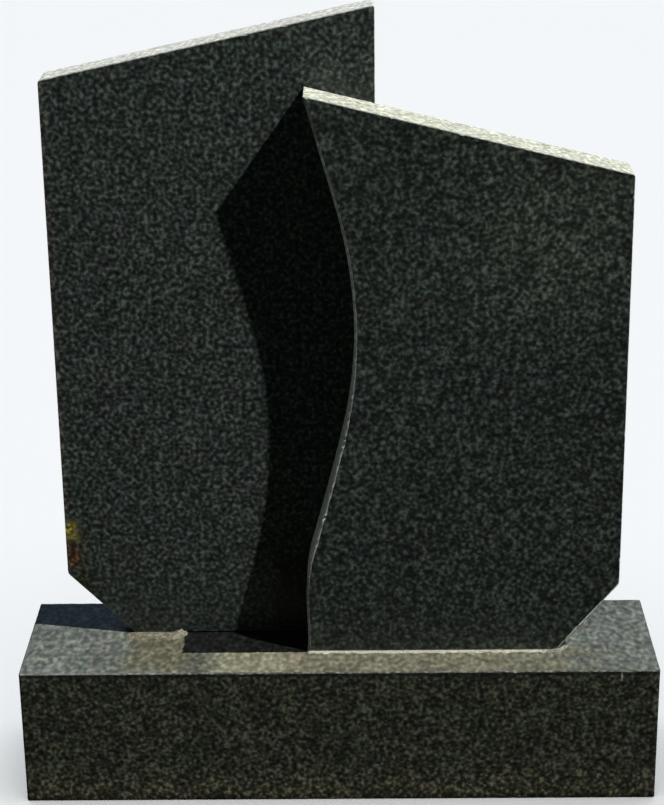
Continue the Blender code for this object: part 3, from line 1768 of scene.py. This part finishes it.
    def front_slab(self) -> Slab:
        """Describe the front slab.

        Returns:
            The slab, ready to build.
        """
        low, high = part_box("front_slab")
        haze = Patch(
            tint=(0.060, 0.070, 0.052),
            centre=(0.33, low.y, 0.90),
            reach=(0.20, 0.02, 0.20),
            strength=0.4,
            softness=0.95,
            raggedness=0.05,
            rags_per_metre=12.0,
            grain=1.0,
            roughness=0.5,
        )
        face = StoneFinish(
            "front slab polished",
            FRONT_POLISHED,
            roughness=0.45,
            lift_per_metre=0.20,
            patches=(haze, darker_foot(low, (0.0190, 0.0235, 0.0190), 1.0)),
        )
        curve_edge = Patch(
            tint=(0.60, 0.61, 0.57),
            centre=(low.x + 0.040, low.y, (low.z + high.z) / 2 + 0.035),
            reach=(0.075, 0.02, 0.38),
            strength=0.9,
            softness=0.2,
            raggedness=0.05,
            grain=0.8,
        )
        cut_edge = Patch(
            tint=(0.75, 0.76, 0.72),
            centre=(high.x - 0.045, low.y, low.z + 0.085),
            reach=(0.070, 0.02, 0.085),
            strength=1.0,
            softness=0.6,
            raggedness=0.1,
            grain=0.8,
        )
        sawn = StoneFinish(
            "front slab sawn",
            SAWN_FRONT,
            roughness=0.85,
            specular=0.2,
            saw=0.5,
            bump=0.35,
            cloud=0.1,
            drift=0.1,
        )
        return Slab(
            name="front_slab_stone",
            node="front_slab",
            slot="front_slab_granite",
            finishes={
                Skin.FRONT: face,
                Skin.ARRIS: StoneFinish(
                    "front slab arris", WORN, roughness=0.7, patches=(curve_edge, cut_edge)
                ),
                Skin.WALL: sawn,
                Skin.BACK: StoneFinish(
                    "front slab back", HONED, roughness=0.55, saw=0.15, bump=0.2
                ),
            },
            wear=Wear(
                widths={
                    Side.TOP: 1.2 * MM,
                    Side.LEFT: 4.0 * MM,
                    Side.RIGHT: 0.9 * MM,
                    Side.CUT: 2.2 * MM,
                    Side.FOOT: 1.0 * MM,
                }
            ),
            seed=8.0,
        )

    def mortar(self) -> list[Callable[[], object]]:
        """List the makers of the mortar pieces."""
        return [self.front_bed, self.front_wedge, self.rear_bed, self.rear_smear]

    def front_bed(self) -> MortarBed:
        """Describe the pale bed under the front slab.

        Returns:
            The bed, ready to build.
        """
        low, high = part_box("front_mortar_bed")
        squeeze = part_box("front_slab")[0].y - low.y
        return MortarBed(
            name="front_bed_bead",
            node="front_mortar_bed",
            slot="pale_mortar",
            finish=MortarFinish(
                "cream mortar",
                pale=(0.47, 0.46, 0.375),
                deep=(0.38, 0.365, 0.285),
                grit=(0.27, 0.25, 0.19),
            ),
            left=low.x + squeeze,
            right=high.x - squeeze,
            front=low.y + squeeze,
            back=high.y,
            bulge=8.5 * MM,
            seed=11.0,
        )

    def front_wedge(self) -> MortarCake:
        """Describe the mortar pressed out under the front slab's cut corner.

        Returns:
            The ridge of mortar, ready to build.
        """
        low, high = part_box("front_mortar_bed")
        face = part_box("front_slab")[0].y
        foot = high.x - (face - low.y)
        # How far the ridge runs to each side of the slab's foot, and how fast it dies away
        before, beyond, fade = 16 * MM, 20 * MM, 7 * MM
        # Its crest: how far in front of the face, and from where and how steeply it turns back
        ahead, straight, slant = 2 * MM, 4 * MM, 1.2
        # Its half width and how ragged that is, its height at the start, its climb and its skirt
        half_width, rag = 3.8 * MM, 0.3
        start_height, climb_height, skirt = 2.0 * MM, 3.2 * MM, 0.3 * MM
        rags_per_metre = 160.0

        def height(x: float, y: float) -> float:
            """Return the ridge's height over the plinth at a place.

            Args:
                x: The place along the slab.
                y: The place from front to back.

            Returns:
                The height.
            """
            run = x - foot
            ragged = noise.noise(Vector((x * rags_per_metre, y * rags_per_metre, 2.0)))
            crest = face - ahead + slant * max(0.0, run - straight)
            climb = min(1.0, (run + before) / before)
            fall = min(1.0, max(0.0, (beyond - run) / fade))
            width = half_width * (1.0 + rag * ragged)
            ridge = max(0.0, 1.0 - ((y - crest) / width) ** 2)
            return (start_height + climb_height * climb) * fall * ridge - skirt

        return MortarCake(
            name="front_bed_wedge",
            slot="pale_mortar",
            finish=MortarFinish(
                "wedge mortar",
                pale=(0.30, 0.288, 0.215),
                deep=(0.21, 0.200, 0.145),
                grit=(0.14, 0.130, 0.100),
            ),
            left=foot - before,
            right=foot + beyond,
            front=face - 7 * MM,
            back=face + 24 * MM,
            height=height,
            step=1.0 * MM,
        )

    def rear_bed(self) -> MortarBed:
        """Describe the sandy bed under the rear slab.

        Returns:
            The bed, ready to build.
        """
        low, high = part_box("rear_mortar_bed")
        slab_low, slab_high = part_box("rear_slab")
        squeeze = high.y - slab_high.y
        return MortarBed(
            name="rear_bed_bead",
            node="rear_mortar_bed",
            slot="sandy_mortar",
            finish=MortarFinish(
                "sandy mortar",
                pale=(0.40, 0.36, 0.25),
                deep=(0.28, 0.24, 0.16),
                grit=(0.20, 0.17, 0.12),
            ),
            left=low.x + squeeze,
            right=high.x - squeeze,
            front=slab_low.y + 0.5 * MM,
            back=slab_high.y,
            bulge=1.6 * MM,
            short_from=low.x + 84 * MM,
            seed=14.0,
        )

    def rear_smear(self) -> MortarCake:
        """Describe the mortar smeared out in front of the rear slab's left foot.

        Returns:
            The smear, ready to build.
        """
        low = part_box("rear_mortar_bed")[0]
        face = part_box("rear_slab")[0].y
        left, right = low.x - 12 * MM, low.x + 89 * MM
        # How far out it reaches, from which share of its length on it draws back, and by how much
        reach, narrow_from, narrowing = 26 * MM, 0.75, 0.45
        # How steeply it rises at its two ends and at its front
        end_slope, front_slope = 9.0, 2.2
        # Waves per metre of its ragged border and of its fine lumps
        broad_waves, fine_waves = 70.0, 300.0
        # Its thickness, the height of its fine lumps, and the big lump at its right end
        thickness, fine_height = 2.4 * MM, 0.45 * MM
        lump_height, lump_radius, lump_inset = 6 * MM, 9 * MM, 12 * MM

        def height(x: float, y: float) -> float:
            """Return the smear's height over the plinth at a place.

            Args:
                x: The place along the slab.
                y: The place from front to back.

            Returns:
                The height.
            """
            share = (x - left) / (right - left)
            late = max(0.0, share - narrow_from)
            depth = (face - y) / (reach * (1.0 - narrowing * late / (1.0 - narrow_from)))
            ragged = noise.noise(Vector((x * broad_waves, y * broad_waves, 7.0)))
            fine = noise.noise(Vector((x * fine_waves, y * fine_waves, 1.0)))
            ends = min(share, 1.0 - share) * end_slope
            body = min(1.0, ends, (1.0 - depth) * front_slope) + 0.8 * ragged - 0.25
            aside = ((x - right + lump_inset) / lump_radius) ** 2
            lump = math.exp(-aside - ((face - y) / lump_radius) ** 2)
            big = lump_height * lump * (0.8 + 0.5 * fine)
            return thickness * body + fine_height * fine + big

        return MortarCake(
            name="rear_bed_smear",
            slot="sandy_mortar",
            finish=MortarFinish(
                "smeared mortar",
                pale=(0.235, 0.222, 0.156),
                deep=(0.112, 0.106, 0.070),
                grit=(0.080, 0.075, 0.052),
            ),
            left=left,
            right=right,
            front=face - 34 * MM,
            back=face + 1 * MM,
            height=height,
        )


# Studio


@dataclass(frozen=True)
class Studio:
    """The pale floor, the lights and the camera."""

    # Which way the key light travels: from the right, the front and above
    key_travel: tuple[float, float, float] = (-0.139, 0.070, -0.193)
    key_strength: float = 4.8
    key_softness: float = math.radians(1.0)
    side_strength: float = 0.26
    side_travel: tuple[float, float, float] = (1.0, 0.0, 0.0)
    side_softness: float = math.radians(30)
    back_strength: float = 1.0
    back_travel: tuple[float, float, float] = (0.0, -1.0, 0.0)
    back_softness: float = math.radians(2)
    wash_strength: float = 3.1
    wash_softness: float = math.radians(80)
    # Blue sky behind the headstone, duller air on the camera's side, dark ground below
    sky: Color = (0.080, 0.125, 0.200)
    haze: Color = (0.064, 0.084, 0.078)
    ground: Color = (0.012, 0.015, 0.011)
    backdrop: Color = (0.93, 0.93, 0.93)
    # Where the ground gives way to the air above it, and the haze to the sky, by direction
    horizon: tuple[float, float] = (-0.08, 0.10)
    turn: tuple[float, float] = (-0.25, 0.25)
    floor_color: Color = (0.86, 0.86, 0.85)
    floor_roughness: float = 0.9
    floor_specular: float = 0.1
    floor_size: float = 60.0
    # The camera: how far it stands from the plinth's front top edge, and how it is turned
    camera_right: float = 0.0383
    camera_back: float = 2.8857
    camera_above: float = 1.5314
    look_down: float = math.radians(20.566)
    look_left: float = math.radians(0.741)
    roll: float = math.radians(-0.718)
    focal_pixels: float = 2082.0
    # How far right of the picture's middle the lens points, in pixels
    aim_pixels: float = 4.07

    def build(self, pieces: Iterable[bpy.types.Object]) -> None:
        """Set the studio up around the headstone.

        Args:
            pieces: The headstone's pieces.
        """
        stone_group = bpy.data.collections.new("lit by the key")
        for piece in pieces:
            stone_group.objects.link(piece)
        floor = self._floor()
        floor_group = bpy.data.collections.new("lit by the wash")
        floor_group.objects.link(floor)
        self._sun("key", self.key_travel, self.key_strength, self.key_softness, stone_group)
        self._sun("side", self.side_travel, self.side_strength, self.side_softness, stone_group)
        self._sun("back", self.back_travel, self.back_strength, self.back_softness, stone_group)
        self._sun("wash", (0.0, 0.0, -1.0), self.wash_strength, self.wash_softness, floor_group)
        self._surround()
        self._camera()
        LOG.info("studio: floor, four lights and camera")

    def _floor(self) -> bpy.types.Object:
        """Lay the pale floor.

        Returns:
            The floor.
        """
        half = self.floor_size / 2
        mesh = bpy.data.meshes.new("floor")
        corners = [(-half, -half, 0), (half, -half, 0), (half, half, 0), (-half, half, 0)]
        mesh.from_pydata(corners, [], [(0, 1, 2, 3)])
        floor = link_piece("floor", mesh)
        material = bpy.data.materials.new("pale floor")
        material.use_nodes = True
        shader = material.node_tree.nodes["Principled BSDF"]
        shader.inputs["Base Color"].default_value = (*self.floor_color, 1.0)
        shader.inputs["Roughness"].default_value = self.floor_roughness
        shader.inputs["Specular IOR Level"].default_value = self.floor_specular
        mesh.materials.append(material)
        floor.visible_diffuse = False
        floor.visible_glossy = False
        return floor

    def _sun(
        self,
        name: str,
        travel: tuple[float, float, float],
        strength: float,
        softness: float,
        group: bpy.types.Collection,
    ) -> None:
        """Hang one far light.

        Args:
            name: The light's name.
            travel: The way its light travels.
            strength: Its strength.
            softness: The angle that it seems wide.
            group: What it lights.
        """
        data = bpy.data.lights.new(name, "SUN")
        data.energy = strength
        data.angle = softness
        light = bpy.data.objects.new(name, data)
        light.rotation_mode = "QUATERNION"
        light.rotation_quaternion = Vector(travel).to_track_quat("-Z", "Y")
        bpy.context.scene.collection.objects.link(light)
        light.light_linking.receiver_collection = group

    def _surround(self) -> None:
        """Light the air around: a soft pale sky over dark ground, and a plain backdrop to the camera."""
        world = bpy.data.worlds.new("studio")
        world.use_nodes = True
        bpy.context.scene.world = world
        sheet = NodeSheet(world.node_tree)
        background = world.node_tree.nodes["Background"]
        direction = sheet.add("TexCoord").outputs["Generated"]
        split = sheet.add("SeparateXYZ")
        sheet.put(direction, split.inputs[0])
        up = sheet.ramp(split.outputs[2], *self.horizon)
        behind = sheet.ramp(split.outputs[1], *self.turn)
        surround = sheet.mix(up, self.ground, sheet.mix(behind, self.haze, self.sky))
        seen = sheet.add("LightPath").outputs["Is Camera Ray"]
        sheet.put(sheet.mix(seen, surround, self.backdrop), background.inputs["Color"])
        bpy.context.scene.view_settings.view_transform = "Standard"

    def _camera(self) -> None:
        """Set the camera at the photograph's viewing angle."""
        low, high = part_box("plinth")
        data = bpy.data.cameras.new("camera")
        data.sensor_fit = "HORIZONTAL"
        data.lens = self.focal_pixels / IMAGE_WIDTH * data.sensor_width
        data.shift_x = -self.aim_pixels / IMAGE_WIDTH
        camera = bpy.data.objects.new("camera", data)
        place = Vector((self.camera_right, low.y - self.camera_back, high.z + self.camera_above))
        turn = (
            Matrix.Rotation(self.look_left, 4, "Z")
            @ Matrix.Rotation(math.pi / 2 - self.look_down, 4, "X")
            @ Matrix.Rotation(self.roll, 4, "Z")
        )
        camera.matrix_world = Matrix.Translation(place) @ turn
        bpy.context.scene.collection.objects.link(camera)
        bpy.context.scene.camera = camera


def main() -> None:
    """Build the headstone and its studio."""
    logging.basicConfig(level=logging.INFO, format="%(name)s: %(message)s")
    pieces = Headstone().build()
    Studio().build(pieces)


if __name__ == "__main__":
    main()
